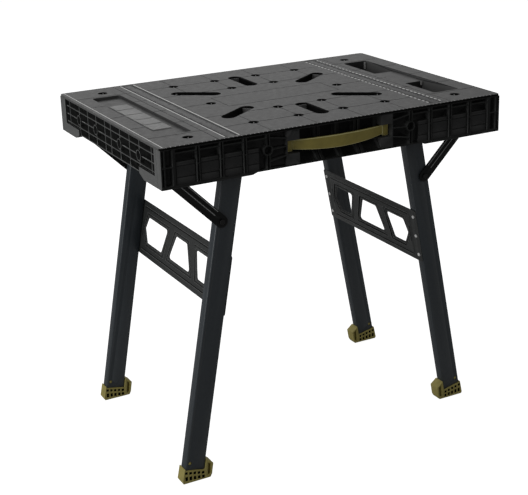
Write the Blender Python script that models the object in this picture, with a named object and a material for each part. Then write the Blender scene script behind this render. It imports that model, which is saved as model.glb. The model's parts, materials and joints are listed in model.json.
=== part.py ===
"""Portable folding work table: a moulded deck with hold-down holes and clamp slots on two folding leg pairs.

Sizes are in millimetres and heights are measured from the deck's top face, which lies HEIGHT above the floor.
X runs along the table, -Y is the handle side and Z is up. Each mesh is scaled to metres as it is placed.
"""

import math

import bmesh
import bpy
from mathutils import Matrix, Vector

SCALE = 0.001
GAP = 0.3

# Table top
LENGTH = 850.0
DEPTH = 595.0
HEIGHT = 790.0
CORNER_RADIUS = 6.0
DECK_THICK = 4.0
SKIRT_TOP = -DECK_THICK - GAP
SKIRT_BOTTOM = -88.0
FRONT_MID_BOTTOM = -84.0
END_MID_BOTTOM = -78.0
LONG_SKIRT_THICK = 20.0
END_SKIRT_THICK = 14.0
POCKET_BACK = 3.5
RIB_CENTRES = (179.6, 233.5, 287.4, 341.0)
RIB_HALF = 4.2
LAST_BAY = 396.2
ROWS = ((-6.0, -13.4), (-15.4, -41.4), (-43.4, -65.5), (-67.5, -81.5))

# Deck pattern
HOLE_RADIUS = 10.0
HOLE_X = (57.0, 168.0)
HOLE_Y = (116.0, 210.0)
END_HOLE = (338.0, 243.0)
SLOT_WIDTH = 29.0
SLOT_INNER = 124.5
SLOT_OUTER = 215.5
SLOT_ANGLES = (35.3, 90.0, 144.7, 215.3, 270.0, 324.7)
DIAGONAL_SHIFT = 19.5
TRAY_X = (310.0, 380.0)
TRAY_Y = 203.0
TRAY_DEPTH = 7.5
BIN_DEPTH = 30.0
LEDGE_Y = (-54.0, 80.0)
TUB_WALL = 2.2
RULER_X = (238.5, 277.0)
RULER_Y = 288.0
RULER_DEPTH = 2.3

# Legs: the splay is the slope of a leg against the vertical
SPLAY = math.atan(0.1838)
LEG_WIDE = 48.0
LEG_DEEP = 25.0
LEG_WALL = 1.5
LEG_ORIGIN = (237.5, -61.5)
PIVOT_LIFT = {"left": 4.5, "right": -2.5}
LEG_UP = 8.0
LEG_DOWN = 712.0
PAIR_OUTER = {"left": 253.0, "right": 213.3}
LUG_PLACE = (377.5, -743.8)
LUG_RADIUS = 3.2
SIDES = {"left": -1, "right": 1}
ENDS = {"front": -1, "back": 1}

# Struts
STRUT_BOLT = (275.0, -192.5)
STRUT_SEAT = (395.0, -72.0)
STRUT_WIDE = 28.0
STRUT_THICK = 4.0
PIN_RADIUS = 4.0
PIN_HOLE = PIN_RADIUS + GAP

# Rails that carry the sliding leg tops
RAIL_X = (213.0, 389.5)
RAIL_HIGH = 24.0
RAIL_WIDE = 10.8
RAIL_SHEET = 1.5

# Cross plates
PLATE_CENTRE = 283.0
PLATE_HIGH = 136.0
PLATE_SHEET = 1.6

# Handle
HANDLE_Z = -46.0
HANDLE_END = 129.0


def material(name, colour, roughness, metallic=0.0):
    made = bpy.data.materials.new(name)
    made.use_nodes = True
    shader = made.node_tree.nodes["Principled BSDF"]
    shader.inputs["Base Color"].default_value = (*colour, 1.0)
    shader.inputs["Roughness"].default_value = roughness
    shader.inputs["Metallic"].default_value = metallic
    return made


def clear_scene():
    for old in list(bpy.data.objects):
        bpy.data.objects.remove(old)


def collection(name):
    made = bpy.data.collections.new(name)
    bpy.context.scene.collection.children.link(made)
    return made


# Mesh builders: each returns a closed mesh in millimetres


def mesh_from(bm):
    mesh = bpy.data.meshes.new("shape")
    bm.to_mesh(mesh)
    bm.free()
    return mesh


def box(*corner_pairs):
    """Boxes given as low corner, high corner, low corner, high corner and so on."""
    bm = bmesh.new()
    for low, high in zip(corner_pairs[::2], corner_pairs[1::2]):
        size = Vector(high) - Vector(low)
        middle = (Vector(high) + Vector(low)) / 2
        bmesh.ops.create_cube(bm, matrix=Matrix.Translation(middle) @ Matrix.Diagonal((*size, 1.0)))
    return mesh_from(bm)


def rods(segments, *rod_list):
    """Round bars given as (start, end, radius)."""
    bm = bmesh.new()
    for start, end, radius in rod_list:
        axis = Vector(end) - Vector(start)
        turn = axis.to_track_quat("Z", "Y").to_matrix().to_4x4()
        place = Matrix.Translation((Vector(start) + Vector(end)) / 2) @ turn
        bmesh.ops.create_cone(
            bm, cap_ends=True, segments=segments, radius1=radius, radius2=radius,
            depth=axis.length, matrix=place,
        )
    mesh = mesh_from(bm)
    mesh.shade_smooth()
    mesh.set_sharp_from_angle(angle=math.radians(50))
    return mesh


def sheet(outlines, low, high, plane="XY"):
    """A flat solid between low and high across its plane; outlines inside another are holes."""
    curve = bpy.data.curves.new("outline", "CURVE")
    curve.dimensions = "2D"
    curve.fill_mode = "BOTH"
    curve.extrude = (high - low) / 2
    for points in outlines:
        spline = curve.splines.new("POLY")
        spline.points.add(len(points) - 1)
        for point, (x, y) in zip(spline.points, points):
            point.co = (x, y, 0.0, 1.0)
        spline.use_cyclic_u = True
    helper = bpy.data.objects.new("outline", curve)
    bpy.context.scene.collection.objects.link(helper)
    graph = bpy.context.evaluated_depsgraph_get()
    mesh = bpy.data.meshes.new_from_object(helper.evaluated_get(graph))
    bpy.data.objects.remove(helper)
    bpy.data.curves.remove(curve)
    bm = bmesh.new()
    bm.from_mesh(mesh)
    bmesh.ops.remove_doubles(bm, verts=bm.verts, dist=1e-4)
    bmesh.ops.translate(bm, verts=bm.verts, vec=(0.0, 0.0, (low + high) / 2))
    turns = {
        "XY": Matrix.Identity(4),
        "XZ": Matrix(((1, 0, 0, 0), (0, 0, 1, 0), (0, 1, 0, 0), (0, 0, 0, 1))),
        "YZ": Matrix(((0, 0, 1, 0), (1, 0, 0, 0), (0, 1, 0, 0), (0, 0, 0, 1))),
    }
    bmesh.ops.transform(bm, verts=bm.verts, matrix=turns[plane])
    bmesh.ops.recalc_face_normals(bm, faces=bm.faces)
    bm.to_mesh(mesh)
    bm.free()
    return mesh


def moved(mesh, matrix):
    mesh.transform(matrix)
    if matrix.determinant() < 0:
        mesh.flip_normals()
    return mesh


# Outlines


def rounded(points, radius, steps=2):
    """The outline with each corner replaced by an arc."""
    outline = []
    count = len(points)
    for i in range(count):
        corner = Vector(points[i])
        back = (Vector(points[i - 1]) - corner).normalized()
        ahead = (Vector(points[(i + 1) % count]) - corner).normalized()
        half = back.angle(ahead) / 2
        middle = corner + (back + ahead).normalized() * radius / math.sin(half)
        start = (corner + back * radius / math.tan(half)) - middle
        end = (corner + ahead * radius / math.tan(half)) - middle
        sweep = start.angle_signed(end)
        for step in range(steps + 1):
            arm = start.copy()
            arm.rotate(Matrix.Rotation(-sweep * step / steps, 2))
            outline.append(tuple(middle + arm))
    return outline


def rectangle(x0, y0, x1, y1, radius, steps=2):
    return rounded([(x0, y0), (x1, y0), (x1, y1), (x0, y1)], radius, steps)


def stadium(start, end, radius, steps=6):
    """The outline around every point within the radius of the line from start to end."""
    heading = math.atan2(end[1] - start[1], end[0] - start[0])
    outline = []
    for centre, base in ((end, heading - math.pi / 2), (start, heading + math.pi / 2)):
        for step in range(steps + 1):
            angle = base + math.pi * step / steps
            outline.append((centre[0] + radius * math.cos(angle), centre[1] + radius * math.sin(angle)))
    return outline


# Objects


def helper_object(mesh, name):
    made = bpy.data.objects.new(name, mesh)
    made.scale = (SCALE,) * 3
    made.location.z = HEIGHT * SCALE
    made.hide_render = True
    made.display_type = "WIRE"
    CUTTERS.objects.link(made)
    return made


def part(name, base, steps, look, pivot=(0.0, 0.0, 0.0)):
    """The base mesh with each (operation, mesh) step as a Boolean; the origin goes to the pivot."""
    bm = bmesh.new()
    bm.from_mesh(base)
    bmesh.ops.translate(bm, verts=bm.verts, vec=-Vector(pivot))
    bmesh.ops.scale(bm, verts=bm.verts, vec=(SCALE,) * 3)
    bm.to_mesh(base)
    bm.free()
    base.materials.clear()
    base.materials.append(look)
    made = bpy.data.objects.new(name, base)
    made.location = (pivot[0] * SCALE, pivot[1] * SCALE, (pivot[2] + HEIGHT) * SCALE)
    PARTS.objects.link(made)
    for number, (operation, mesh) in enumerate(steps):
        modifier = made.modifiers.new(f"{operation} {number}", "BOOLEAN")
        modifier.operation = operation
        modifier.solver = "EXACT"
        modifier.object = helper_object(mesh, f"{name} {operation.lower()} {number}")
    return made


def mirror_x(values):
    return [-v for v in reversed(values)] + list(values)


def span(side, near, far):
    """The low and high ends of a stretch at this side of the middle."""
    return sorted((side * near, side * far))


# Deck


def hole_places():
    places = [(x, y) for x in mirror_x(HOLE_X) for y in mirror_x(HOLE_Y) if abs(x) < 100 or abs(y) > 200]
    places += [(x, 0.0) for x in (-HOLE_X[1], HOLE_X[1])]
    places += [(x * END_HOLE[0], y * END_HOLE[1]) for x in (-1, 1) for y in (-1, 1)]
    return places


def slot_ends(angle):
    direction = (math.cos(math.radians(angle)), math.sin(math.radians(angle)))
    shift = 0.0 if abs(direction[0]) < 0.1 else DIAGONAL_SHIFT
    near, far = SLOT_INNER + shift, SLOT_OUTER + shift
    return [(direction[0] * reach, direction[1] * reach) for reach in (near, far)]


def tub(x0, y0, x1, y1, depth, wall, top):
    return sheet([rectangle(x0 - wall, y0 - wall, x1 + wall, y1 + wall, 6.0 + wall)], -depth - wall, top)


def deck():
    outline = rectangle(-LENGTH / 2, -DEPTH / 2, LENGTH / 2, DEPTH / 2, CORNER_RADIUS)
    holes = hole_places()
    inside = -DECK_THICK / 2
    steps = []
    for x in mirror_x(HOLE_X):
        steps.append(("UNION", box((x - 1.5, -250, -18), (x + 1.5, 250, inside))))
    for y in mirror_x(HOLE_Y):
        steps.append(("UNION", box((-200, y - 1.5, -18.2), (200, y + 1.5, inside - 0.2))))
    collars = []
    for x, y in holes:
        # the corner holes have short collars, because the folded feet lie under them
        low = -10.0 if abs(x) > 300 else -20.0
        collars.append(((x, y, low), (x, y, inside - 0.4), HOLE_RADIUS + 3))
    steps.append(("UNION", rods(12, *collars)))
    for angle in SLOT_ANGLES:
        ends = slot_ends(angle)
        steps.append(("UNION", sheet([stadium(*ends, SLOT_WIDTH / 2 + 3)], -24, inside - 0.6)))
    low, high = TRAY_X
    steps.append(("UNION", tub(-high, -TRAY_Y, -low, TRAY_Y, TRAY_DEPTH, TUB_WALL, inside)))
    steps.append(("UNION", tub(low, -TRAY_Y, high, TRAY_Y, TRAY_DEPTH, TUB_WALL, inside)))
    for y0, y1 in ((-TRAY_Y, LEDGE_Y[0]), (LEDGE_Y[1], TRAY_Y)):
        steps.append(("UNION", tub(low, y0, high, y1, BIN_DEPTH, TUB_WALL, inside - 0.5)))
    steps.append(("DIFFERENCE", rods(20, *[((x, y, -30), (x, y, 5), HOLE_RADIUS) for x, y in holes])))
    slots = [sheet([stadium(*slot_ends(angle), SLOT_WIDTH / 2)], -40, 5) for angle in SLOT_ANGLES]
    steps += [("DIFFERENCE", slot) for slot in slots]
    for side in SIDES.values():
        x0, x1 = sorted((side * low, side * high))
        steps.append(("DIFFERENCE", sheet([rectangle(x0, -TRAY_Y, x1, TRAY_Y, 6.0)], -TRAY_DEPTH, 5)))
        x0, x1 = sorted((side * RULER_X[0], side * RULER_X[1]))
        steps.append(("DIFFERENCE", box((x0, -RULER_Y, -RULER_DEPTH), (x1, RULER_Y, 5))))
    for y0, y1 in ((-TRAY_Y, LEDGE_Y[0]), (LEDGE_Y[1], TRAY_Y)):
        steps.append(("DIFFERENCE", sheet([rectangle(low, y0, high, y1, 6.0)], -BIN_DEPTH, -TRAY_DEPTH + 2)))
    part("deck", sheet([outline], -DECK_THICK, 0.0), steps, DECK_GREY)


def ruler(name, side):
    """A scale strip set into the deck, with a raised bead along each edge."""
    x0, x1 = sorted((side * (RULER_X[0] + GAP), side * (RULER_X[1] - GAP)))
    y = RULER_Y - GAP
    floor = -RULER_DEPTH + GAP
    steps = [("DIFFERENCE", box((x0 + 3, -y - 1, -0.8), (x1 - 3, y + 1, 1)))]
    part(name, box((x0, -y, floor), (x1, y, 0.0)), steps, RULER_GREY)


def tray_inlay():
    """A liner on the left tray's floor with five raised panels."""
    x0, x1 = -368.0, -322.0
    floor = -TRAY_DEPTH + GAP
    pads = []
    for number in range(5):
        y = 104.0 - 52.3 * number
        outline = rectangle(x0 + 1, y - 22.8, x1 - 1, y + 22.8, 3)
        pads.append(("UNION", sheet([outline], floor + 0.4, floor + 1.6)))
    part("tray_inlay", box((x0, -130, floor), (x1, 129, floor + 0.8)), pads, INLAY_GREY)


# Skirts


def long_profile():
    half = LENGTH / 2
    return [
        (-half, SKIRT_TOP), (half, SKIRT_TOP), (half, SKIRT_BOTTOM), (218, SKIRT_BOTTOM),
        (207, FRONT_MID_BOTTOM), (-207, FRONT_MID_BOTTOM), (-218, SKIRT_BOTTOM), (-half, SKIRT_BOTTOM),
    ]


def skirt_cells(face, back):
    """Pockets at both sides of a long skirt: one inside each twin rib, two over each inset panel."""
    cells = []
    narrow = [(c - 1.9, c + 1.9) for c in RIB_CENTRES] + [(398.5, 414.5), (417.5, 422.0)]
    for x0, x1 in narrow:
        cells += [(x0, x1, ROWS[1][1], ROWS[0][0]), (x0, x1, ROWS[3][1], ROWS[2][0])]
    for start, stop in zip(RIB_CENTRES, RIB_CENTRES[1:] + (LAST_BAY,)):
        x0, x1 = start + RIB_HALF, stop - RIB_HALF
        cells.append((x0, x1, ROWS[0][1], ROWS[0][0]))
        cells.append((x0, x1, -33.5, ROWS[1][0]))
    corners = []
    for x0, x1, low, high in cells:
        for side in (-1, 1):
            a, b = span(side, x0, x1)
            corners += [(a, face - 1, low), (b, back, high)]
    return corners


def panel_cuts(face, back):
    """Around each inset panel: a slot at both sides, a shallow step over it and two grooves."""
    slots, steps, grooves = [], [], []
    for start, stop in zip(RIB_CENTRES, RIB_CENTRES[1:] + (LAST_BAY,)):
        x0, x1 = start + RIB_HALF, stop - RIB_HALF
        panel = 201.0 if start == RIB_CENTRES[0] else x0 + 2.5
        for side in (-1, 1):
            for a, b in (span(side, x0, panel), span(side, x1 - 2.5, x1)):
                slots += [(a, face - 1, -81.5), (b, back, -33.0)]
            a, b = span(side, panel - 0.5, x1 - 2.0)
            steps += [(a, face - 1, -82.0), (b, face + 3.0, -33.2)]
            for z in (-42.4, -66.5):
                grooves += [(a - 0.3, face - 2, z - 0.9), (b + 0.3, face + 4.6, z + 0.9)]
    return slots, steps, grooves


def boss_bay(face, back):
    """Cuts and additions around the round bosses: the pocket, three slanted ribs and the ring."""
    pockets, ribs, rings, bores = [], [], [], []
    for side in (-1, 1):
        a, b = span(side, 134.5, RIB_CENTRES[0] - RIB_HALF)
        pockets += [(a, face - 1, -81.5), (b, back, -6.0)]
        x0, x1 = side * 133, side * 177
        for z_boss, z_post in ((-14.4, -21.5), (-41.4, -39.0), (-66.5, -58.5)):
            corners = [(x0, z_post - 1), (x1, z_boss - 1), (x1, z_boss + 1), (x0, z_post + 1)]
            ribs.append(sheet([corners], face + 1.0, back + 1.0, "XZ"))
        x = side * RIB_CENTRES[0]
        rings.append(((x, back + 1.0, -41.4), (x, face + 0.2, -41.4), 11.2))
        bores.append(((x, back, -41.4), (x, face - 1.0, -41.4), 9.2))
    return pockets, ribs, rods(20, *rings), rods(20, *bores)


def handle_recess(face):
    """The finger recess behind the handle and its deep pockets; the floor slopes out to the lower edge."""
    recess = [(face - 1, -6), (face + 22, -6), (face + 22, -61), (face + 3, -82), (face - 1, -82)]
    deep = [
        (face + 21, -8), (face + 36.5, -8), (face + 36.5, -61),
        (face + 17, -81.8), (face + 2, -81.8), (face + 21, -60),
    ]
    cuts = [sheet([recess], -102.5, 102.5, "YZ")]
    for near, far in ((4.9, 42.5), (49.3, 52.7), (59.5, 100.5)):
        for side in (-1, 1):
            cuts.append(sheet([deep], *span(side, near, far), "YZ"))
    return cuts


def long_skirt(name, turned, with_handle):
    """The front or back skirt. It is made as the front one and turned half round for the back."""
    face = -DEPTH / 2
    inner = face + LONG_SKIRT_THICK
    back = inner - POCKET_BACK
    base = sheet([long_profile()], face, inner, "XZ")
    slots, shallow, grooves = panel_cuts(face, back)
    pockets, ribs, rings, bores = boss_bay(face, back)
    steps = []
    if with_handle:
        housing = box((-136, inner - 4, FRONT_MID_BOTTOM), (136, face + 40, SKIRT_TOP - 0.01))
        steps.append(("UNION", housing))
    for corners in (skirt_cells(face, back), pockets, slots, shallow, grooves):
        steps.append(("DIFFERENCE", box(*corners)))
    steps += [("UNION", rib) for rib in ribs]
    steps.append(("UNION", rings))
    steps.append(("DIFFERENCE", bores))
    if with_handle:
        posts, sockets = [], []
        for side in (-1, 1):
            a, b = span(side, 102.0, 134.5)
            posts += [(a, face - 1, -81.9), (b, face + 4, -5.9)]
            a, b = span(side, 101.0, 131.5)
            sockets += [(a, face - 2, HANDLE_Z - 11.8), (b, face + 25, HANDLE_Z + 16.8)]
        steps.append(("DIFFERENCE", box(*posts)))
        steps += [("DIFFERENCE", cut) for cut in handle_recess(face)]
        steps.append(("DIFFERENCE", box(*sockets)))
    else:
        cells = []
        for x0 in (-131.0, -77.6, -24.2, 29.2, 82.6):
            for high, low in ROWS:
                cells += [(x0, face - 1, low), (x0 + 48.4, back, high)]
        steps.append(("DIFFERENCE", box(*cells)))
    if turned:
        half_turn = Matrix.Rotation(math.pi, 4, "Z")
        moved(base, half_turn)
        for _, mesh in steps:
            moved(mesh, half_turn)
    part(name, base, steps, SKIRT_BLACK)


def end_skirt(name, side):
    """The ribbed end panel between the long skirts."""
    face = LENGTH / 2
    inner = face - END_SKIRT_THICK
    reach = DEPTH / 2 - LONG_SKIRT_THICK - GAP
    profile = [
        (-reach, SKIRT_TOP), (reach, SKIRT_TOP), (reach, SKIRT_BOTTOM), (205, SKIRT_BOTTOM),
        (182, END_MID_BOTTOM), (-182, END_MID_BOTTOM), (-205, SKIRT_BOTTOM), (-reach, SKIRT_BOTTOM),
    ]
    base = sheet([profile], inner, face, "YZ")
    edges = mirror_x((17.5, 71.5, 125.0, 179.0, 244.0))
    columns = [(-265.0, edges[0] - 1.5)] + [(a + 1.5, b - 1.5) for a, b in zip(edges, edges[1:])]
    columns.append((edges[-1] + 1.5, 265.0))
    cells = []
    for y0, y1 in columns:
        last = -63.8 if max(abs(y0), abs(y1)) > 180 else -75.5
        for high, low in ((-5.5, -20.4), (-22.8, -39.2), (-41.6, -57.8), (-60.2, last)):
            cells += [(inner + 3, y0, low), (face + 1, y1, high)]
    upper = [(face - 3.8, -265, -64.0), (face + 2, 265, -5.3)]
    lower = [(face - 3.8, -181, -80.0), (face + 2, 181, -64.2)]
    shallow = box(*upper, *lower)
    bosses = [(y, -40.4) for y in mirror_x((71.5, 179.0))]
    rings = rods(16, *[((inner + 1.5, y, z), (face - 1.0, y, z), 12.0) for y, z in bosses])
    bores = rods(16, *[((inner + 3.2, y, z), (face + 1.0, y, z), 10.4) for y, z in bosses])
    steps = [("DIFFERENCE", shallow), ("DIFFERENCE", box(*cells)), ("UNION", rings), ("DIFFERENCE", bores)]
    if side < 0:
        half_turn = Matrix.Rotation(math.pi, 4, "Z")
        moved(base, half_turn)
        for _, mesh in steps:
            moved(mesh, half_turn)
    part(name, base, steps, END_GREY)


def handle():
    """A strap that bows out to the skirt's face; its T ends sit in the sockets beside the recess."""
    face = -DEPTH / 2
    reach = HANDLE_END - 12
    plan, side_view = [], []
    for step in range(-10, 11):
        t = step / 10
        plan.append((t * reach, face + 0.3 + 16.5 * t * t))
        side_view.append((t * reach, HANDLE_Z + 14 - 0.5 * t * t))
    plan += [(x, y + 7.0) for x, y in reversed(plan)]
    for step in range(10, -11, -1):
        t = step / 10
        side_view.append((t * reach, HANDLE_Z - 14 + 7.5 * t * t))
    steps = [("INTERSECT", sheet([side_view], face - 5, face + 40, "XZ"))]
    for side in (-1, 1):
        a, b = span(side, reach - 3, HANDLE_END)
        outline = rectangle(a, HANDLE_Z - 11.0, b, HANDLE_Z + 16.0, 2.0)
        steps.append(("UNION", sheet([outline], face + 15.5, face + 24.5, "XZ")))
    part("carry_handle", sheet([plan], HANDLE_Z - 20, HANDLE_Z + 20), steps, OLIVE)


# Folding hardware under the deck


def leg_point(lift):
    """The point on a leg's centre line that lies this far above the leg origin."""
    return LEG_ORIGIN[0] - lift * math.sin(SPLAY), LEG_ORIGIN[1] + lift * math.cos(SPLAY)


def rail(name, side, end, outer, pivot):
    """A channel that opens towards the leg, hung from the deck, with a stop at each end of its track."""
    x0, x1 = RAIL_X
    track = outer - LEG_DEEP - 0.6
    web = track - RAIL_WIDE
    high, low = pivot[1] + RAIL_HIGH / 2, pivot[1] - RAIL_HIGH / 2
    inside = web + RAIL_SHEET
    profile = [
        (web, SKIRT_TOP), (web, low), (track, low), (track, low + RAIL_SHEET), (inside, low + RAIL_SHEET),
        (inside, high - RAIL_SHEET), (track, high - RAIL_SHEET), (track, high), (inside, high),
        (inside, SKIRT_TOP),
    ]
    base = sheet([profile], x0, x1, "YZ")
    stops = []
    for start in (x0, x1 - 8):
        stops += [(start, web + 0.7, low + 0.7), (start + 8, track, high - 0.7)]
    steps = [("UNION", box(*stops))]
    if outer < TRAY_Y + 25:
        # the narrow pair's hangers are cut away where they would meet the bins
        steps.append(("DIFFERENCE", box((TRAY_X[0] - 8, web - 5, -BIN_DEPTH - 8), (x1 + 5, web + 5, 0))))
    place = Matrix.Diagonal((side, end, 1, 1))
    moved(base, place)
    for _, mesh in steps:
        moved(mesh, place)
    part(name, base, steps, STEEL_DARK)


def shoe(name, side, end, outer, pivot):
    """The block that slides in a rail, bored for the leg's pivot pin."""
    track = outer - LEG_DEEP - 0.6
    low, high = track - RAIL_WIDE + RAIL_SHEET + 0.5, track - 0.2
    x, z = pivot
    half = RAIL_HIGH / 2 - RAIL_SHEET - 0.4
    base = sheet([rectangle(x - 14, z - half, x + 14, z + half, 2.5)], low, high, "XZ")
    bore = rods(16, ((x, low - 3, z), (x, high + 3, z), PIN_HOLE))
    place = Matrix.Diagonal((side, end, 1, 1))
    part(name, moved(base, place), [("DIFFERENCE", moved(bore, place))], NYLON)


def pivot_pin(name, side, end, outer, pivot):
    x, z = pivot
    track = outer - LEG_DEEP - 0.6
    start, stop = end * (track - RAIL_WIDE + 2.3), end * (outer - 10)
    pin = rods(16, ((side * x, start, z), (side * x, stop, z), PIN_RADIUS))
    part(name, pin, [], ZINC, (side * x, 0.0, z))


def seat(name, side, end, outer):
    """The hanger whose corner holds a strut's upper pin, open below and inward, where the pin leaves it."""
    x, z = STRUT_SEAT
    wall = LENGTH / 2 - END_SKIRT_THICK - 0.4
    roof = z + PIN_RADIUS + 0.4
    side_x = x + PIN_RADIUS + 0.4
    outline = [
        (x - 18, SKIRT_TOP), (wall, SKIRT_TOP), (wall, z - 13),
        (side_x, z - 13), (side_x, roof), (x - 7, roof),
    ]
    near = outer + STRUT_THICK + 1.9
    base = sheet([outline], near, near + 3.4, "XZ")
    part(name, moved(base, Matrix.Diagonal((side, end, 1, 1))), [], STEEL_DARK)


# Leg pairs


def leg_frame(side):
    """Places a shape drawn around the leg origin, with the leg running down -Z, on the leg's slope."""
    turn = Matrix.Rotation(-side * SPLAY, 4, "Y")
    return Matrix.Translation((side * LEG_ORIGIN[0], 0.0, LEG_ORIGIN[1])) @ turn


def leg_tube(name, side, end, outer, lift):
    y = end * (outer - LEG_DEEP / 2)
    wide, deep = LEG_WIDE / 2, LEG_DEEP / 2
    wall = LEG_WALL
    outlines = [
        rectangle(-wide, y - deep, wide, y + deep, 3.0),
        rectangle(-wide + wall, y - deep + wall, wide - wall, y + deep - wall, 1.5),
    ]
    frame = leg_frame(side)
    tube = moved(sheet(outlines, -LEG_DOWN, lift + LEG_UP), frame)
    pivot = leg_point(lift)
    inner_face, outer_face = end * (outer - LEG_DEEP), end * outer
    drilled = [(pivot, inner_face, PIN_HOLE), (STRUT_BOLT, outer_face, PIN_HOLE)]
    drilled += [(LUG_PLACE, inner_face, LUG_RADIUS + 1.2), (LUG_PLACE, outer_face, LUG_RADIUS + 1.2)]
    holes = []
    for (x, z), wall_y, radius in drilled:
        holes.append(((side * x, wall_y - end * 5, z), (side * x, wall_y + end * 5, z), radius))
    part(name, tube, [("DIFFERENCE", rods(16, *holes))], LEG_STEEL, (side * pivot[0], 0.0, pivot[1]))


def leg_cap(name, side, end, outer, lift):
    y = end * (outer - LEG_DEEP / 2)
    wide, deep = LEG_WIDE / 2, LEG_DEEP / 2
    top = lift + LEG_UP + GAP
    pivot = leg_point(lift)
    frame = leg_frame(side)
    base = sheet([rectangle(-wide, y - deep, wide, y + deep, 3.0)], top, top + 1.8)
    plug = sheet([rectangle(-wide + 2, y - deep + 2, wide - 2, y + deep - 2, 1.0)], top - 3.2, top + 1.0)
    steps = [("UNION", moved(plug, frame))]
    part(name, moved(base, frame), steps, NYLON, (side * pivot[0], 0.0, pivot[1]))


def leg_edge(z):
    """Distance from the middle of the table to the outer face of a leg at a height."""
    return LEG_ORIGIN[0] + (LEG_ORIGIN[1] - z) * math.tan(SPLAY) + LEG_WIDE / 2 / math.cos(SPLAY)


def foot(name, side, end, outer):
    """The moulded foot: a block under the tube, a lip outside it and a hollow ear towards the middle."""
    floor = -HEIGHT
    across = LEG_WIDE / math.cos(SPLAY)
    lip = leg_edge(-755)
    profile = [
        (leg_edge(-743) - across, -743.0), (321.2, -757.0), (325.6, -782.5), (329.8, floor), (396.0, floor),
        (398.3, floor + 4.0), (lip + 2.6, -755.0), (lip - 1.0, -755.0), (lip - across + 1, -764.0),
    ]
    low, high = outer - LEG_DEEP - 2.0, outer + 2.0
    base = sheet([profile], low, high, "XZ")
    flip = Matrix.Diagonal((side, end, 1, 1))
    frame = leg_frame(1)
    wide = LEG_WIDE / 2 + GAP
    sleeve = moved(box((-wide, low - 5, -LEG_DOWN - GAP), (wide, high + 5, -600)), frame)
    middle = outer - LEG_DEEP / 2
    spigot = box((-21.5, middle - 9.8, -LEG_DOWN - 5), (21.5, middle + 9.8, -LEG_DOWN + 28))
    steps = [("DIFFERENCE", sleeve), ("UNION", moved(spigot, frame))]
    # the lug shows in a hole at both faces of the tube
    x, z = LUG_PLACE
    lug = rods(12, ((x, outer - LEG_DEEP + 0.5, z), (x, outer - 0.5, z), LUG_RADIUS))
    steps.append(("UNION", lug))
    ear = [(327.0, -757.5), (334.5, -752.0), (336.8, -784.0), (329.5, -782.0)]
    web = 2.5
    steps.append(("DIFFERENCE", sheet([ear], middle + web, high + 5, "XZ")))
    steps.append(("DIFFERENCE", sheet([ear], low - 5, middle - web, "XZ")))
    pits = []
    for column in range(5):
        x = 347.5 + 10.2 * column
        for z, half in ((-773.2 + 2.2 * column, 2.9), (-783.2 + 1.2 * column, 3.3 + 0.4 * column)):
            pits += [(x - 3.0, high - 9.0, z - half), (x + 3.0, high + 5, z + half)]
            pits += [(x - 3.0, low - 5, z - half), (x + 3.0, low + 9.0, z + half)]
    steps.append(("DIFFERENCE", box(*pits)))
    moved(base, flip)
    for _, mesh in steps:
        moved(mesh, flip)
    part(name, base, steps, OLIVE)


def plate_openings(half, grow=0.0):
    """The three openings of a cross plate as outlines in (y, t); grow widens each of them."""
    inner = half - 46.0
    tall = 31.5 + grow
    lean = grow * 1.06
    short = tall - 0.7
    wide = 58.5 + lean * 1.3
    middle = [(-30.0 - lean, short), (30.0 + lean, short), (wide, -short), (-wide, -short)]
    outlines = [rounded(middle, 6.0 + grow * 0.5)]
    for mirror in (-1, 1):
        points = [
            (80.0 - lean, tall), (inner - 15.0 + grow, tall), (inner + lean, 0.0),
            (inner - 19.0 + grow * 0.6, -tall), (103.0 - lean * 1.3, -tall),
        ]
        outlines.append(rounded([(mirror * y, t) for y, t in points], 6.0 + grow * 0.5))
    return outlines


def cross_plate(name, side, outer, pivot):
    """The pressed plate that joins a pair of legs: a flat sheet with a raised field around its openings."""
    half = outer - 1.0
    tall = PLATE_HIGH / 2
    near = LEG_WIDE / 2 + GAP
    drop = -PLATE_CENTRE
    to_leg = Matrix.Translation((0.0, 0.0, drop))
    top = near + PLATE_SHEET
    base = sheet([rectangle(-half, -tall, half, tall, 4.0)], near, top, "YZ")
    inner = outer - LEG_DEEP - 6.0
    raised = sheet([rectangle(-inner, -tall + 10, inner, tall - 10, 10.0)], near + 0.5, top + 1.6, "YZ")
    sunk = sheet(plate_openings(outer, 9.0), top + 0.1, top + 8, "YZ")
    openings = sheet(plate_openings(outer), near - 6, top + 8, "YZ")
    heads = []
    for end in (-1, 1):
        y = end * (outer - LEG_DEEP / 2)
        for t in (-50.0, 0.0, 50.0):
            heads.append(((near + 0.6, y, t), (near + PLATE_SHEET + 2.0, y, t), 4.2))
    frame = leg_frame(side) @ Matrix.Diagonal((-side, 1, 1, 1)) @ to_leg
    steps = [("UNION", raised), ("DIFFERENCE", sunk), ("DIFFERENCE", openings), ("UNION", rods(10, *heads))]
    for _, mesh in steps:
        moved(mesh, frame)
    part(name, moved(base, frame), steps, PLATE_GREY, (side * pivot[0], 0.0, pivot[1]))


# Struts


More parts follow.
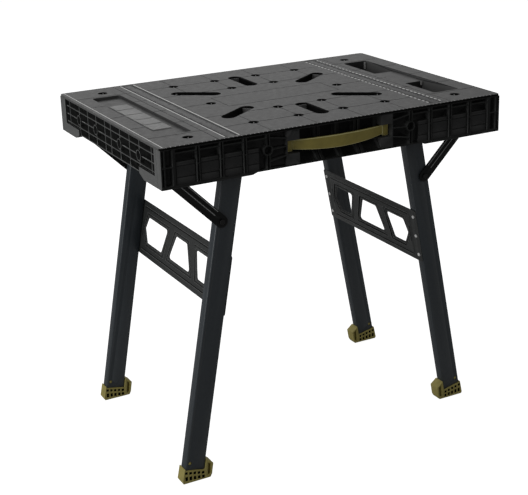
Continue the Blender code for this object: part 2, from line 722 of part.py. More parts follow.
def strut(name, side, end, outer):
    """A flat bar with two pressed ribs, a hole for the lower bolt and a fixed pin at its upper end."""
    low = outer + GAP
    high = low + STRUT_THICK
    base = sheet([stadium(STRUT_BOLT, STRUT_SEAT, STRUT_WIDE / 2)], low, high, "XZ")
    along = (Vector(STRUT_SEAT) - Vector(STRUT_BOLT)).normalized()
    across = Vector((-along.y, along.x))
    steps = []
    for offset in (1.0, 11.3):
        start = Vector(STRUT_BOLT) + along * 24 + across * offset
        stop = Vector(STRUT_SEAT) - along * 14 + across * offset
        steps.append(("UNION", sheet([stadium(start, stop, 1.1, 2)], high - 1.0, high + 1.0, "XZ")))
    bolt, top = STRUT_BOLT, STRUT_SEAT
    hole = rods(16, ((bolt[0], low - 5, bolt[1]), (bolt[0], high + 5, bolt[1]), PIN_HOLE))
    pin = rods(16, ((top[0], high - 1, top[1]), (top[0], high + 7.2, top[1]), PIN_RADIUS))
    steps += [("DIFFERENCE", hole), ("UNION", pin)]
    place = Matrix.Diagonal((side, end, 1, 1))
    moved(base, place)
    for _, mesh in steps:
        moved(mesh, place)
    part(name, base, steps, STRUT_BLACK, (side * bolt[0], 0.0, bolt[1]))


def strut_bolt(name, side, end, outer):
    x, z = STRUT_BOLT
    head_low = outer + GAP + STRUT_THICK + GAP
    shank = rods(12, ((side * x, end * (outer - 8), z), (side * x, end * (head_low + 0.8), z), PIN_RADIUS))
    head = rods(6, ((side * x, end * head_low, z), (side * x, end * (head_low + 2.8), z), 6.2))
    part(name, shank, [("UNION", head)], ZINC, (side * x, 0.0, z))


clear_scene()
PARTS = collection("work_table")
CUTTERS = collection("cutters")
DECK_GREY = material("deck_grey", (0.13, 0.13, 0.13), 0.6)
SKIRT_BLACK = material("skirt_black", (0.03, 0.03, 0.032), 0.55)
END_GREY = material("end_grey", (0.12, 0.12, 0.12), 0.55)
RULER_GREY = material("ruler_grey", (0.28, 0.28, 0.28), 0.5)
INLAY_GREY = material("inlay_grey", (0.35, 0.35, 0.35), 0.45)
LEG_STEEL = material("leg_steel", (0.05, 0.06, 0.07), 0.4, 0.3)
PLATE_GREY = material("plate_grey", (0.09, 0.1, 0.1), 0.45, 0.2)
STRUT_BLACK = material("strut_black", (0.02, 0.02, 0.02), 0.4, 0.2)
STEEL_DARK = material("steel_dark", (0.1, 0.1, 0.1), 0.4, 0.9)
ZINC = material("zinc", (0.5, 0.5, 0.5), 0.35, 1.0)
NYLON = material("nylon", (0.03, 0.03, 0.03), 0.5)
OLIVE = material("olive", (0.28, 0.26, 0.05), 0.5)

deck()
tray_inlay()
long_skirt("skirt_front", False, True)
long_skirt("skirt_back", True, False)
handle()
for side_name, side in SIDES.items():
    outer = PAIR_OUTER[side_name]
    lift = PIVOT_LIFT[side_name]
    pivot = leg_point(lift)
    ruler(f"ruler_{side_name}", side)
    end_skirt(f"skirt_{side_name}", side)
    cross_plate(f"{side_name}_cross_plate", side, outer, pivot)
    for end_name, end in ENDS.items():
        place = f"{side_name}_{end_name}"
        rail(f"{place}_rail", side, end, outer, pivot)
        shoe(f"{place}_slide_shoe", side, end, outer, pivot)
        pivot_pin(f"{place}_pivot_pin", side, end, outer, pivot)
        seat(f"{place}_strut_seat", side, end, outer)
        leg_tube(f"{place}_leg", side, end, outer, lift)
        leg_cap(f"{place}_leg_cap", side, end, outer, lift)
        foot(f"{place}_foot", side, end, outer)
        strut(f"{place}_strut", side, end, outer)
        strut_bolt(f"{place}_strut_bolt", side, end, outer)
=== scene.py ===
import json
import math

import bmesh
import bpy
from mathutils import Matrix, Vector

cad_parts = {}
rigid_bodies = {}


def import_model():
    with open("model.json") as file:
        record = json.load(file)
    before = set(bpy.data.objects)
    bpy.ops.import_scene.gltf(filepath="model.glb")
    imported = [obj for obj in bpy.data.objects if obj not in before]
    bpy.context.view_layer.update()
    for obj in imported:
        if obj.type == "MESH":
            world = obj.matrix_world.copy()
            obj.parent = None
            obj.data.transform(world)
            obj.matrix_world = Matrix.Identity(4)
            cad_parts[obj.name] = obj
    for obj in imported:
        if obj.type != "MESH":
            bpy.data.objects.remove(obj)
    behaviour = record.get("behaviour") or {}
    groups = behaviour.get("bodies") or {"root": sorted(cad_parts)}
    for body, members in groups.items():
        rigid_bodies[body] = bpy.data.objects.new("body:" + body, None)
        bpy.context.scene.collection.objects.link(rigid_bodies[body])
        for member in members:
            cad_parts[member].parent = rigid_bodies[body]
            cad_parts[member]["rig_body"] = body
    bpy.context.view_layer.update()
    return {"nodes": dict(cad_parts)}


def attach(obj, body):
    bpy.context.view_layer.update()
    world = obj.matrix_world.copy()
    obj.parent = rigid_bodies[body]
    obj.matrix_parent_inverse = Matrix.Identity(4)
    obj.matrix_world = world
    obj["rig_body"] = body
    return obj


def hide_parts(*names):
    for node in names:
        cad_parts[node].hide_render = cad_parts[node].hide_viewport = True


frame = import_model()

TOP = 0.790
MM = 0.001

# The deck's pattern, in millimetres from its middle
HOLE_X = (-168, -57, 57, 168)
HOLE_Y = (-210, -116, 116, 210)
HOLE_RADIUS = 10.0
SLOT_RADIUS = 14.5
SLOT_NEAR, SLOT_FAR = 124.5, 215.5
RULER_BEADS = (241.0, 274.5)

# The legs: slope, pivot and how far down them the cross plates are centred
SLOPE = 0.1838
PIVOT_X, PIVOT_DROP = 237.5, 61.5
PLATE_DROP = 283
LEG_HALF = 12.5
OUTER = {"left": 253.0, "right": 213.3}


# Materials


def finish_of(name, colour, roughness, edge, edge_highlight_share, grain, grain_scale, mottle, mottle_scale,
              metallic=0.0, specular=0.5, stretch=(1.0, 1.0, 1.0), edge_size=0.0011):
    """A moulded or coated surface: blotchy tone, fine grain, uneven gloss and lighter edges, a painted
    highlight.
    """
    look = bpy.data.materials.new(name)
    look.use_nodes = True
    tree = look.node_tree
    shader = tree.nodes["Principled BSDF"]
    shader.inputs["Metallic"].default_value = metallic
    shader.inputs["Specular IOR Level"].default_value = specular
    place = tree.nodes.new("ShaderNodeTexCoord")
    mapping = tree.nodes.new("ShaderNodeMapping")
    mapping.inputs["Scale"].default_value = stretch
    tree.links.new(place.outputs["Object"], mapping.inputs["Vector"])

    def noise(scale, detail, rough=0.5):
        made = tree.nodes.new("ShaderNodeTexNoise")
        made.inputs["Scale"].default_value = scale
        made.inputs["Detail"].default_value = detail
        made.inputs["Roughness"].default_value = rough
        tree.links.new(mapping.outputs["Vector"], made.inputs["Vector"])
        return made

    def remap(source, low, high, to_low, to_high):
        made = tree.nodes.new("ShaderNodeMapRange")
        made.inputs["From Min"].default_value = low
        made.inputs["From Max"].default_value = high
        made.inputs["To Min"].default_value = to_low
        made.inputs["To Max"].default_value = to_high
        tree.links.new(source, made.inputs["Value"])
        return made.outputs["Result"]

    broad = noise(mottle_scale, 5.0, 0.6)
    fine = noise(grain_scale, 2.0)
    middle = noise(mottle_scale * 9, 3.0)

    dark = tuple(c * (1 - mottle) for c in colour)
    light = tuple(min(1.0, c * (1 + mottle)) for c in colour)
    tone = tree.nodes.new("ShaderNodeMix")
    tone.data_type = "RGBA"
    tone.inputs["A"].default_value = (*dark, 1.0)
    tone.inputs["B"].default_value = (*light, 1.0)
    tree.links.new(remap(broad.outputs["Fac"], 0.3, 0.7, 0.0, 1.0), tone.inputs["Factor"])

    # The edges found by the bevel normal are painted lighter: a painted highlight.
    round_edge = tree.nodes.new("ShaderNodeBevel")
    round_edge.samples = 4
    round_edge.inputs["Radius"].default_value = edge_size
    surface = tree.nodes.new("ShaderNodeNewGeometry")
    dot = tree.nodes.new("ShaderNodeVectorMath")
    dot.operation = "DOT_PRODUCT"
    tree.links.new(round_edge.outputs["Normal"], dot.inputs[0])
    tree.links.new(surface.outputs["True Normal"], dot.inputs[1])
    edge_highlight = tree.nodes.new("ShaderNodeMath")
    edge_highlight.operation = "MULTIPLY"
    tree.links.new(remap(dot.outputs["Value"], 0.99, 0.80, 0.0, edge_highlight_share), edge_highlight.inputs[0])
    tree.links.new(remap(middle.outputs["Fac"], 0.3, 0.6, 0.55, 1.0), edge_highlight.inputs[1])
    paint = tree.nodes.new("ShaderNodeMix")
    paint.data_type = "RGBA"
    paint.inputs["B"].default_value = (*edge, 1.0)
    tree.links.new(edge_highlight.outputs["Value"], paint.inputs["Factor"])
    tree.links.new(tone.outputs["Result"], paint.inputs["A"])
    tree.links.new(paint.outputs["Result"], shader.inputs["Base Color"])

    tree.links.new(remap(middle.outputs["Fac"], 0.25, 0.75, roughness - 0.07, roughness + 0.09),
                   shader.inputs["Roughness"])
    bump = tree.nodes.new("ShaderNodeBump")
    bump.inputs["Strength"].default_value = grain
    bump.inputs["Distance"].default_value = 0.0003
    tree.links.new(fine.outputs["Fac"], bump.inputs["Height"])
    tree.links.new(round_edge.outputs["Normal"], bump.inputs["Normal"])
    tree.links.new(bump.outputs["Normal"], shader.inputs["Normal"])
    return look


DECK = finish_of("deck_plastic", (0.082, 0.082, 0.081), 0.62, (0.20, 0.20, 0.195),
                 0.5, 1.0, 1100, 0.07, 9)
# Near-black paint standing for the shade in holes, slots and grooves and on the deck's shaded edges.
HOLE_SHADE = finish_of("hole_shade_paint", (0.004, 0.004, 0.004), 0.6, (0.02, 0.02, 0.02),
                   0.3, 0.4, 900, 0.2, 20, specular=0.04, edge_size=0.0006)
# Dark grey used as painted shade on the bins' walls, and as the print of the ruler ticks.
BIN_SHADE_AND_TICKS = finish_of("bin_shade_and_tick_paint", (0.024, 0.024, 0.024), 0.6, (0.09, 0.09, 0.09),
                0.5, 0.4, 900, 0.2, 20, specular=0.2)
# Darker grey for painted shade on the tray's walls.
TRAY_WALL_SHADE = finish_of("tray_wall_shade_paint", (0.040, 0.040, 0.040), 0.6, (0.09, 0.09, 0.09),
                 0.5, 0.4, 900, 0.2, 20)
RULER = finish_of("ruler_plastic", (0.072, 0.072, 0.072), 0.6, (0.2, 0.2, 0.2),
                  0.5, 0.5, 900, 0.12, 12)
MARK = finish_of("mark_paint", (0.80, 0.80, 0.79), 0.5, (0.85, 0.85, 0.84), 0.3, 0.2, 900, 0.1, 60)
# Pale grey for the printed dashes and the bin ribs, and as a painted highlight on the ribs in the holes.
PRINT_AND_GLINT = finish_of("tick_and_glint_paint", (0.36, 0.36, 0.355), 0.5, (0.5, 0.5, 0.5), 0.3, 0.2, 900, 0.1, 60)
INLAY = finish_of("inlay_plastic", (0.17, 0.17, 0.167), 0.5, (0.3, 0.3, 0.3),
                  0.6, 0.15, 900, 0.1, 20)
SKIRT = finish_of("skirt_plastic", (0.0070, 0.0074, 0.0072), 0.5, (0.05, 0.052, 0.051),
                  0.7, 0.2, 900, 0.2, 14, specular=0.22, edge_size=0.0008)
POST = finish_of("post_plastic", (0.020, 0.021, 0.021), 0.5, (0.07, 0.07, 0.07),
                 0.6, 0.25, 900, 0.15, 14, specular=0.3)
PANEL = finish_of("panel_plastic", (0.013, 0.0135, 0.0135), 0.5, (0.05, 0.05, 0.05),
                  0.6, 0.25, 900, 0.2, 14, specular=0.3, edge_size=0.0008)
# Near-black for painted shade in the end skirts' pockets and in the plates' pressed grooves.
RECESS_SHADE = finish_of("recess_shade_plastic", (0.0030, 0.0032, 0.0031), 0.6, (0.03, 0.031, 0.03),
                0.3, 0.25, 900, 0.2, 12, specular=0.03, edge_size=0.0005)
# Lighter grey standing for the light on the end ribs' front faces.
RIB_FRONT_LIT = finish_of("rib_front_lit_plastic", (0.058, 0.060, 0.059), 0.5, (0.20, 0.205, 0.20),
                0.8, 0.25, 900, 0.15, 12, specular=0.4, edge_size=0.0008)
# Light grey standing for the light on the skirts' end faces, the lit side of the dark skirt plastic.
END_FACE_LIT = finish_of("end_face_lit_plastic", (0.092, 0.094, 0.093), 0.5, (0.17, 0.175, 0.172),
                 0.6, 0.25, 900, 0.12, 12, specular=0.4)
OLIVE = finish_of("olive_plastic", (0.235, 0.195, 0.042), 0.5, (0.46, 0.42, 0.14),
                  0.8, 0.3, 900, 0.14, 30, specular=0.4)
# Pale olive for the handle's rounded edges, a painted highlight.
OLIVE_RIM_HIGHLIGHT = finish_of("olive_rim_highlight", (0.50, 0.46, 0.20), 0.5, (0.6, 0.56, 0.3),
                      0.7, 0.3, 900, 0.14, 30)
FOOT = finish_of("olive_foot", (0.315, 0.268, 0.075), 0.55, (0.46, 0.42, 0.16),
                 0.7, 0.3, 900, 0.14, 30, specular=0.4)
# Near-black olive for painted shade in the feet's pits.
PIT_SHADE = finish_of("olive_pit_shade", (0.010, 0.009, 0.004), 0.6, (0.04, 0.035, 0.012),
                0.3, 0.3, 900, 0.14, 30, specular=0.04)
LEG = finish_of("leg_coat", (0.0195, 0.0260, 0.0315), 0.42, (0.12, 0.13, 0.135),
                0.6, 0.35, 1600, 0.10, 10, specular=0.55, stretch=(1, 1, 0.35))
PLATE = finish_of("plate_coat", (0.022, 0.024, 0.0235), 0.45, (0.17, 0.175, 0.175),
                  0.8, 0.35, 1600, 0.12, 22, specular=0.45)
# Light grey for painted highlights on the plates' pressed rims.
RIM_HIGHLIGHT = finish_of("plate_rim_highlight_coat", (0.055, 0.058, 0.057), 0.42, (0.30, 0.30, 0.30),
                0.9, 0.35, 1600, 0.12, 22)
RIVET = finish_of("rivet_zinc", (0.75, 0.75, 0.74), 0.35, (0.9, 0.9, 0.9), 0.5, 0.15, 900, 0.12, 60)
STRUT = finish_of("strut_coat", (0.0042, 0.0045, 0.0045), 0.42, (0.08, 0.08, 0.08),
                  0.5, 0.3, 1600, 0.12, 25, specular=0.18)
# Light grey for a painted glint on the strut's pressed ribs.
STRUT_RIB_GLINT = finish_of("strut_rib_glint_coat", (0.20, 0.205, 0.205), 0.42, (0.36, 0.36, 0.36),
                      0.7, 0.3, 1600, 0.12, 25)
BOLT = finish_of("black_bolt", (0.006, 0.006, 0.006), 0.45, (0.09, 0.09, 0.09),
                 0.6, 0.2, 900, 0.15, 40, specular=0.3)
STEEL = finish_of("rail_steel", (0.05, 0.05, 0.052), 0.42, (0.22, 0.22, 0.22),
                  0.5, 0.25, 1500, 0.2, 20, metallic=0.3)
ZINC = finish_of("zinc_plate", (0.45, 0.45, 0.44), 0.34, (0.6, 0.6, 0.6),
                 0.3, 0.1, 900, 0.12, 60, metallic=0.9)
NYLON = finish_of("nylon_black", (0.02, 0.02, 0.02), 0.5, (0.07, 0.07, 0.07),
                  0.5, 0.3, 900, 0.15, 30)


# Geometry helpers, in metres


def put(mesh, name, body, look, replaces=None):
    """A new piece that rides on a body, perhaps in place of a CAD node."""
    mesh.materials.clear()
    mesh.materials.append(look)
    made = bpy.data.objects.new(name, mesh)
    bpy.context.scene.collection.objects.link(made)
    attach(made, body)
    if replaces:
        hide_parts(replaces)
    return made


def body_of(node):
    return frame["nodes"][node]["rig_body"]


def clean_copy(node, cuts):
    """The node's mesh, welded, with fine cuts made by Booleans."""
    mesh = frame["nodes"][node].data.copy()
    bm = bmesh.new()
    bm.from_mesh(mesh)
    bmesh.ops.remove_doubles(bm, verts=bm.verts, dist=2e-6)
    bm.to_mesh(mesh)
    bm.free()
    if not cuts:
        return mesh
    holder = bpy.data.objects.new("holder", mesh)
    bpy.context.scene.collection.objects.link(holder)
    helpers = []
    for shape in cuts:
        helper = bpy.data.objects.new("helper", shape)
        bpy.context.scene.collection.objects.link(helper)
        helpers.append(helper)
        modifier = holder.modifiers.new("cut", "BOOLEAN")
        modifier.operation = "DIFFERENCE"
        modifier.solver = "EXACT"
        modifier.object = helper
    graph = bpy.context.evaluated_depsgraph_get()
    result = bpy.data.meshes.new_from_object(holder.evaluated_get(graph))
    for helper in helpers + [holder]:
        bpy.data.objects.remove(helper)
    return result


def refined(node, look, width, segments=2, angle=38.0, cuts=(), paint=(), rim_highlight=None):
    """Stands for a CAD node with the same form and rounded edges; paint lists (look, face test)."""
    mesh = clean_copy(node, cuts)
    made = put(mesh, f"{node}_shape", body_of(node), look, node)
    for number, (extra, test) in enumerate(paint, 1):
        mesh.materials.append(extra)
        for face in mesh.polygons:
            if test(face):
                face.material_index = number
    mesh.shade_smooth()
    mesh.set_sharp_from_angle(angle=math.radians(angle))
    if width:
        bevel = made.modifiers.new("edges", "BEVEL")
        bevel.width = width
        bevel.segments = segments
        bevel.limit_method = "ANGLE"
        bevel.angle_limit = math.radians(angle)
        bevel.use_clamp_overlap = False
        bevel.harden_normals = False
        bevel.miter_outer = "MITER_ARC"
        # The bevel faces take a pale look, a painted highlight along the rounded edges.
        if rim_highlight:
            mesh.materials.append(rim_highlight)
            bevel.material = len(mesh.materials) - 1
    return made


def boxes(ranges):
    """One mesh of boxes given as (x0, x1, y0, y1, z0, z1) in millimetres from the deck's top."""
    bm = bmesh.new()
    for x0, x1, y0, y1, z0, z1 in ranges:
        middle = Vector(((x0 + x1) / 2 * MM, (y0 + y1) / 2 * MM, TOP + (z0 + z1) / 2 * MM))
        size = (abs(x1 - x0) * MM, abs(y1 - y0) * MM, abs(z1 - z0) * MM, 1.0)
        bmesh.ops.create_cube(bm, matrix=Matrix.Translation(middle) @ Matrix.Diagonal(size))
    mesh = bpy.data.meshes.new("boxes")
    bm.to_mesh(mesh)
    bm.free()
    return mesh


def joined(meshes):
    bm = bmesh.new()
    for mesh in meshes:
        bm.from_mesh(mesh)
    made = bpy.data.meshes.new("joined")
    bm.to_mesh(made)
    bm.free()
    return made


# Deck

holes = [(x, y) for x in HOLE_X for y in HOLE_Y if abs(x) < 100 or abs(y) > 200]
holes += [(-168, 0), (168, 0)] + [(x * 338, y * 243) for x in (-1, 1) for y in (-1, 1)]
along, across = [], []
for y in HOLE_Y:
    along.append((-414, 414, y - 1.0, y + 1.0, -2.0, 1))
for side in (-1, 1):
    along.append((side * 155, side * 414, -1.0, 1.0, -2.0, 1))
along += [(-145, 145, y - 0.9, y + 0.9, -1.6, 1) for y in (-48, 48)]
for x in HOLE_X:
    across.append((x - 0.6, x + 0.6, 122, 292, -0.9, 1.1))
    across.append((x - 0.6, x + 0.6, -292, -122, -0.9, 1.1))
across += [(x - 0.6, x + 0.6, -48.6, 48.6, -0.9, 1.1) for x in (-145, 145)]
across += [(x - 0.6, x + 0.6, -292, 292, -0.9, 1.1) for x in (-292, 292)]
grooves = [(min(a, b), max(a, b), y0, y1) for a, b, y0, y1, _, _ in along + across]
SLOTS = [(35.3, 19.5), (90.0, 0.0), (144.7, 19.5), (215.3, 19.5), (270.0, 0.0), (324.7, 19.5)]


def slot_line(angle, shift):
    """The ends of a slot's centre line in millimetres, the end away from the handle or outermost last."""
    heading = Vector((math.cos(math.radians(angle)), math.sin(math.radians(angle))))
    near, far = heading * (SLOT_NEAR + shift), heading * (SLOT_FAR + shift)
    return (far, near) if angle in (215.3, 270.0) else (near, far)


SLOT_LINES = [slot_line(*values) for values in SLOTS]


def in_slot(x, y, reach=15.2):
    for start, end in SLOT_LINES:
        line = end - start
        spot = Vector((x, y)) - start
        share = max(0.0, min(1.0, spot.dot(line) / line.length_squared))
        if (spot - line * share).length < reach:
            return True
    return False


def hole_shade_faces(face):
    """Walls of the holes, slots and grooves, and the deck's edge at the front, back and right, which are
    painted near-black as shade.
    """
    x, y, z = (v / MM for v in face.center)
    if z > 789.95:
        return False
    if abs(y) > 292 or x > 424:
        return True
    if z > 787.5 and any(a - 0.1 < x < b + 0.1 and c - 0.1 < y < d + 0.1 for a, b, c, d in grooves):
        return True
    if abs(face.normal.z) > 0.85:
        return False
    return in_slot(x, y, 17) or any(math.hypot(x - a, y - b) < 12.5 for a, b in holes)


def tray_wall_shade_faces(face):
    """The walls of the shallow tray at the left, painted darker as shade."""
    x, y, z = (v / MM for v in face.center)
    return -380.5 < x < -309.5 and abs(y) < 203.5 and 780 < z < 789.9 and abs(face.normal.z) < 0.5


def bin_wall_shade(face):
    """The end walls of the bins and the ledge's long walls, painted darker as shade."""
    x, y, z = (v / MM for v in face.center)
    if not (309.5 < x < 380.5 and abs(y) < 203.5 and 759 < z < 789.9):
        return False
    return abs(face.normal.y) > 0.6 or (abs(face.normal.z) < 0.5 and z > 782)


def flare(lines, radius, grow, deep, steps=10):
    """Stadium-shaped cutters, one for each (start, end), wider at the top by grow."""
    bm = bmesh.new()
    for start, end in lines:
        turn = math.atan2(end.y - start.y, end.x - start.x) if (end - start).length else 0.0
        rings = []
        for reach, z in ((radius - 0.05, -deep), (radius + grow, 0.0), (radius + grow, 1.0)):
            ring = []
            for spot, begin in ((end, -math.pi / 2), (start, math.pi / 2)):
                for k in range(steps + 1):
                    a = turn + begin + math.pi * k / steps
                    if start == end and k == steps:
                        continue
                    ring.append(bm.verts.new(((spot.x + reach * math.cos(a)) * MM,
                                              (spot.y + reach * math.sin(a)) * MM, TOP + z * MM)))
            rings.append(ring)
        for lower, upper in zip(rings, rings[1:]):
            for k, vert in enumerate(lower):
                n = (k + 1) % len(lower)
                bm.faces.new((vert, lower[n], upper[n], upper[k]))
        bm.faces.new(rings[-1])
        bm.faces.new(reversed(rings[0]))
    mesh = bpy.data.meshes.new("flare")
    bm.to_mesh(mesh)
    bm.free()
    return mesh


spots = [(Vector(hole), Vector(hole)) for hole in holes]
short_lines = [(a + (b - a).normalized() * 2.4, b - (b - a).normalized() * 2.4) for a, b in SLOT_LINES]
flares = [flare(short_lines, SLOT_RADIUS, 2.1, 2.4), flare(spots, HOLE_RADIUS, 1.7, 1.8)]
cuts = flares + [boxes(along), boxes(across)]
refined("deck", DECK, 0, 1, 8.0, cuts, [(HOLE_SHADE, hole_shade_faces), (BIN_SHADE_AND_TICKS, bin_wall_shade), (TRAY_WALL_SHADE, tray_wall_shade_faces)])

# Small ribs inside the holes, slots and bins
# The hole ribs are painted pale grey, a painted highlight inside each hole.
hole_ribs = [(x + 3.6, x + 4.8, y + 6.0, y + 8.6, -9, -2.2) for x, y in holes]
put(boxes(hole_ribs), "hole_ribs", "top", PRINT_AND_GLINT)
webs = []
for start, end in SLOT_LINES:
    heading = (end - start).normalized()
    spot = end + heading * 3.0
    rib = boxes([(-0.9, 0.9, -14.1, 14.1, -22.0, -3.0)])
    turn = Matrix.Rotation(math.atan2(heading.y, heading.x), 4, "Z")
    rib.transform(Matrix.Translation((spot.x * MM, spot.y * MM, 0)) @ turn)
    webs.append(rib)
put(joined(webs), "slot_ribs", "top", RULER)
corners = ((202.8, -21, -3.0), (-54.2, -17, -8.2))
bin_ribs = [(373.0, 376.5, y - 4.5, y - 1.2, low, high) for y, low, high in corners]
put(boxes(bin_ribs), "bin_ribs", "top", PRINT_AND_GLINT)
bin_lines = []
for y0, y1 in ((-198, -59), (85, 198)):
    bin_lines += [(352 + k * 8, 353.2 + k * 8, y0, y1, -30.2, -29.2) for k in range(-4, 4)]
put(boxes(bin_lines), "bin_floor_ribs", "top", RULER)

# Dashes along the front, back and right edges, and the plain line along the left one
edge_marks = []
for k in range(-41, 42):
    for side in (-1, 1):
        long = 5.4 if k % 5 == 0 else 3.0
        edge_marks.append((k * 10 - 1.0, k * 10 + 1.0, side * 297.2, side * (297.2 - long), -0.3, 0.35))
for k in range(-28, 29):
    edge_marks.append((422 if k % 5 else 419, 424.8, k * 10 - 1.6, k * 10 + 1.6, -0.3, 0.35))
put(boxes(edge_marks), "deck_edge_marks", "top", PRINT_AND_GLINT)
# The dark strips along the front, back and right edges are painted shade.
edge_lines = [(-412, 412, side * 297.1, side * 294.9, -0.3, 0.2) for side in (-1, 1)]
edge_lines.append((421.6, 424.7, -288, 288, -0.3, 0.2))
put(boxes(edge_lines), "deck_edge_lines", "top", HOLE_SHADE)
put(boxes([(-417.0, -415.4, -292, 292, -0.3, 0.35)]), "deck_left_line", "top", MARK)

# Scale strips: a lit bead along each edge and two rows of graduations
for name, side in (("left", -1), ("right", 1)):
    refined(f"ruler_{name}", RULER, 0.0002, 1)
    lines, ticks = [], []
    for x in RULER_BEADS:
        if side < 0:
            lines.append((side * x - 1.1, side * x + 1.1, -287, 287, -0.2, 0.45))
        else:
            lines += [(side * x - 1.5, side * x + 1.5, k * 16.0 - 4.6, k * 16.0 + 4.6, -0.2, 0.45)
                      for k in range(-17, 18)]
    for k in range(-56, 57):
        y = k * 5.0
        reach = 9.0 if k % 10 == 0 else 6.0 if k % 2 == 0 else 3.5
        ticks.append((side * 243.8, side * (243.8 + reach), y - 0.55, y + 0.55, -0.9, -0.35))
        ticks.append((side * 271.6, side * (271.6 - reach), y - 0.55, y + 0.55, -0.9, -0.35))
    put(boxes(lines), f"ruler_{name}_lines", "top", MARK)
    put(boxes(ticks), f"ruler_{name}_ticks", "top", BIN_SHADE_AND_TICKS)

refined("tray_inlay", INLAY, 0.0004, 2)


# Skirts, handle, legs and hardware


def outer_of(x):
    """Half the width of the leg pair on that side, over the legs."""
    return OUTER["left"] if x < 0 else OUTER["right"]


def lit_end_face(face):
    """The plain posts of an end skirt and the flat end faces of a long skirt, painted lighter to stand for
    the light falling on them.
    """
    x, y, z = (abs(v / MM) for v in face.center)
    if abs(face.normal.x) < 0.9 or x < 424.5:
        return False
    return y > 263.5 or z > 780 or (z < 722 and y > 150)


def handle_post(face):
    """The plain posts beside the handle."""
    return face.normal.y < -0.9 and -0.295 < face.center.y < -0.292 and 0.1 < abs(face.center.x) < 0.136


def lit_rib_front(face):
    """The front faces of an end skirt's ribs and rings, painted lighter to stand for the light falling on
    them.
    """
    return abs(face.normal.x) > 0.9 and 420.5 < abs(face.center.x / MM) < 424.5


def inset_panel(face):
    """The inset panels of a long skirt."""
    x, y, z = (v / MM for v in face.center)
    return abs(face.normal.y) > 0.9 and 293 < abs(y) < 295.5 and abs(x) > 183 and z < 757


refined("skirt_front", SKIRT, 0.0003, 1, paint=[(PANEL, inset_panel), (POST, handle_post), (END_FACE_LIT, lit_end_face)])
refined("skirt_back", SKIRT, 0.0003, 1, paint=[(PANEL, inset_panel), (END_FACE_LIT, lit_end_face)])
# The end skirts are near-black as painted shade in their pockets, with the lit faces painted lighter.
for name in ("skirt_left", "skirt_right"):
    refined(name, RECESS_SHADE, 0, paint=[(RIB_FRONT_LIT, lit_rib_front), (END_FACE_LIT, lit_end_face)])
refined("carry_handle", OLIVE, 0.0016, 3, 28.0, rim_highlight=OLIVE_RIM_HIGHLIGHT)


def rivet(face):
    """The rivet heads, which stand proud of a cross plate in line with the legs."""
    x, y, z = (v / MM for v in face.center)
    below_pivot = TOP / MM - PIVOT_DROP - z
    offset = PIVOT_X + SLOPE * below_pivot - abs(x)
    return abs(abs(y) - outer_of(x) + LEG_HALF) < 4.4 and offset > 26.4


def foot_pit_shade(face):
    """The walls and floors of a foot's pits and of the hollow in its ear, painted near-black as shade."""
    x, y, z = (v / MM for v in face.center)
    depth = 14.5 - abs(abs(y) - outer_of(x) + LEG_HALF)
    return z < 32 and depth > 2.0 and 344 < abs(x) < 392 and z > 3


def strut_rib_glint(face):
    """The two pressed ribs on a strut's outer face, painted light as a glint."""
    y = abs(face.center.y) / MM
    outer = outer_of(face.center.x)
    return abs(face.normal.y) > 0.9 and outer + 4.9 < y < outer + 5.6


def plate_outlines(half, grow):
    """The outlines of a cross plate's openings, as (y, t) in the plate, widened by grow."""
    inner, tall, lean = half - 46.0, 31.5 + grow, grow * 1.06
    wide = 58.5 + lean * 1.3
    top, upper = 30.0 + lean, tall - 0.7
    shapes = [[(-top, upper), (top, upper), (wide, -upper), (-wide, -upper)]]
    for mirror in (-1, 1):
        shapes.append([(mirror * y, t) for y, t in (
            (80.0 - lean, tall), (inner - 15.0 + grow, tall), (inner + lean, 0.0),
            (inner - 19.0 + grow * 0.6, -tall), (103.0 - lean * 1.3, -tall),
        )])
    return shapes


def bands(half, grow, width, x0, x1):
    """Closed bands around a cross plate's openings, between two distances from the leg's middle."""
    bm = bmesh.new()
    for tight, loose in zip(plate_outlines(half, grow), plate_outlines(half, grow + width)):
        loops = [[bm.verts.new((x * MM, y * MM, t * MM)) for y, t in shape]
                 for x, shape in ((x0, tight), (x1, tight), (x1, loose), (x0, loose))]
        for first, second in zip(loops, loops[1:] + loops[:1]):
            for k, vert in enumerate(first):
                n = (k + 1) % len(first)
                bm.faces.new((vert, first[n], second[n], second[k]))
    bmesh.ops.recalc_face_normals(bm, faces=bm.faces)
    mesh = bpy.data.meshes.new("bands")
    bm.to_mesh(mesh)
    bm.free()
    return mesh


def plate_boxes(ranges):
    """Boxes given as (x0, x1, y0, y1, t0, t1) in millimetres in a cross plate."""
    mesh = boxes(ranges)
    mesh.transform(Matrix.Translation((0, 0, -TOP)))
    return mesh


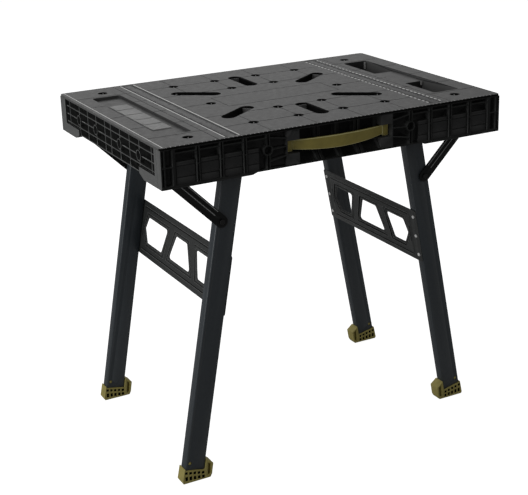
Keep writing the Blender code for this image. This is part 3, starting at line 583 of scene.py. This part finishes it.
def plate_relief(side_name, side, half):
    """The pressed lines on both faces of a cross plate: raised rims painted light as a highlight, beside
    grooves painted dark as shade.
    """
    turn = Matrix.Rotation(-side * math.atan(SLOPE), 4, "Y")
    pivot = Matrix.Translation((side * PIVOT_X * MM, 0.0, TOP - PIVOT_DROP * MM)) @ turn
    down = Matrix.Translation((0, 0, -PLATE_DROP * MM))
    place = pivot @ Matrix.Diagonal((-side, 1, 1, 1)) @ down
    near, inner = 24.3, half - 31.0
    light, dark = [], []
    for x0, x1, y in ((near - 0.35, near + 0.2, inner - 3), (near + 3.0, near + 3.55, inner - 3)):
        light.append(bands(half, 9.6, 1.3, x0, x1))
        light.append(bands(half, 3.2, 0.9, x0, x1))
        dark.append(bands(half, 8.0, 1.6, x0, x1 - 0.1))
        light.append(plate_boxes([(x0, x1, -y, y, t - 0.6, t + 0.6) for t in (-55.0, 55.0)]))
        dark.append(plate_boxes([(x0, x1 - 0.1, -y, y, t - 0.9, t + 0.9) for t in (-52.6, 52.6)]))
        dark.append(plate_boxes([(x0, x1 - 0.1, side_y * y - 0.9, side_y * y + 0.9, -20.0, 20.0)
                                 for side_y in (-1, 1)]))
    # The rims carry painted highlights and the grooves painted shade.
    for name, shapes, look in (("rims", light, RIM_HIGHLIGHT), ("grooves", dark, RECESS_SHADE)):
        mesh = joined(shapes)
        mesh.transform(place)
        put(mesh, f"{side_name}_plate_{name}", f"{side_name}_legs", look)


for side_name, side in (("left", -1), ("right", 1)):
    refined(f"{side_name}_cross_plate", PLATE, 0.0005, 2, 34.0, paint=[(RIVET, rivet)])
    plate_relief(side_name, side, OUTER[side_name])
    for end_name in ("front", "back"):
        place = f"{side_name}_{end_name}"
        refined(f"{place}_leg", LEG, 0.0002, 1, 40.0)
        refined(f"{place}_leg_cap", NYLON, 0.0004, 2)
        refined(f"{place}_foot", FOOT, 0.0005, 2, 34.0, paint=[(PIT_SHADE, foot_pit_shade)])
        refined(f"{place}_strut", STRUT, 0.0004, 2, 40.0, paint=[(STRUT_RIB_GLINT, strut_rib_glint)])
        refined(f"{place}_strut_bolt", BOLT, 0.0004, 2)
        refined(f"{place}_rail", STEEL, 0.0003, 1)
        refined(f"{place}_slide_shoe", NYLON, 0.0004, 1)
        refined(f"{place}_pivot_pin", ZINC, 0.0004, 1, 50)
        refined(f"{place}_strut_seat", STEEL, 0.0003, 1)


# Floor, light and camera

floor = bpy.data.materials.new("floor")
floor.use_nodes = True
tree = floor.node_tree
shader = tree.nodes["Principled BSDF"]
shader.inputs["Base Color"].default_value = (0.5, 0.5, 0.5, 1)
shader.inputs["Roughness"].default_value = 0.9
shader.inputs["Specular IOR Level"].default_value = 0.1
shader.inputs["Emission Color"].default_value = (1, 1, 1, 1)
seen = tree.nodes.new("ShaderNodeLightPath")
glow = tree.nodes.new("ShaderNodeMath")
glow.operation = "MULTIPLY"
glow.inputs[1].default_value = 0.9
tree.links.new(seen.outputs["Is Camera Ray"], glow.inputs[0])
tree.links.new(glow.outputs["Value"], shader.inputs["Emission Strength"])
bm = bmesh.new()
bmesh.ops.create_grid(bm, x_segments=1, y_segments=1, size=30)
mesh = bpy.data.meshes.new("floor")
bm.to_mesh(mesh)
bm.free()
mesh.materials.append(floor)
ground = bpy.data.objects.new("floor", mesh)
ground.location.z = -0.0005
bpy.context.scene.collection.objects.link(ground)

world = bpy.data.worlds.new("studio")
bpy.context.scene.world = world
world.use_nodes = True
tree = world.node_tree
sky = tree.nodes["Background"]
sky.inputs["Color"].default_value = (1, 1, 1, 1)
seen = tree.nodes.new("ShaderNodeLightPath")
level = tree.nodes.new("ShaderNodeMapRange")
level.inputs["To Min"].default_value = 0.27
level.inputs["To Max"].default_value = 1.0
tree.links.new(seen.outputs["Is Camera Ray"], level.inputs["Value"])
tree.links.new(level.outputs["Result"], sky.inputs["Strength"])


def area(name, position, target, size, power):
    light = bpy.data.lights.new(name, "AREA")
    light.shape = "RECTANGLE"
    light.size, light.size_y = size
    light.energy = power
    made = bpy.data.objects.new(name, light)
    made.location = position
    made.rotation_euler = (Vector(target) - Vector(position)).to_track_quat("-Z", "Y").to_euler()
    bpy.context.scene.collection.objects.link(made)


area("left_softbox", (-3.2, -0.4, 1.6), (0, 0, 0.6), (2.4, 2.4), 52)
area("back_softbox", (0.8, 2.6, 2.6), (0, 0, 0.8), (3.0, 2.0), 31)

FRAME_WIDTH, FRAME_HEIGHT = 528.0, 495.0
FOCAL, CENTRE_X, CENTRE_Y = 1242.44, 283.17, 211.24
SENSOR = 36.0
yaw, pitch, roll = 0.4956, 0.3202, -0.0267
forward = Vector((math.sin(yaw) * math.cos(pitch), math.cos(yaw) * math.cos(pitch), -math.sin(pitch)))
flat = Vector((math.cos(yaw), -math.sin(yaw), 0.0))
upright = flat.cross(forward)
rightward = math.cos(roll) * flat + math.sin(roll) * upright
upward = math.cos(roll) * upright - math.sin(roll) * flat
camera = bpy.data.objects.new("camera", bpy.data.cameras.new("camera"))
camera.matrix_world = Matrix((
    (rightward.x, upward.x, -forward.x, -1.34753),
    (rightward.y, upward.y, -forward.y, -2.51471),
    (rightward.z, upward.z, -forward.z, TOP + 0.65542),
    (0, 0, 0, 1),
))
camera.data.sensor_width = SENSOR
camera.data.lens = FOCAL * SENSOR / FRAME_WIDTH
camera.data.shift_x = (FRAME_WIDTH / 2 - CENTRE_X) / FRAME_WIDTH
camera.data.shift_y = (CENTRE_Y - FRAME_HEIGHT / 2) / FRAME_WIDTH
camera.data.clip_end = 100
bpy.context.scene.collection.objects.link(camera)
bpy.context.scene.camera = camera
bpy.context.scene.view_settings.view_transform = "Standard"
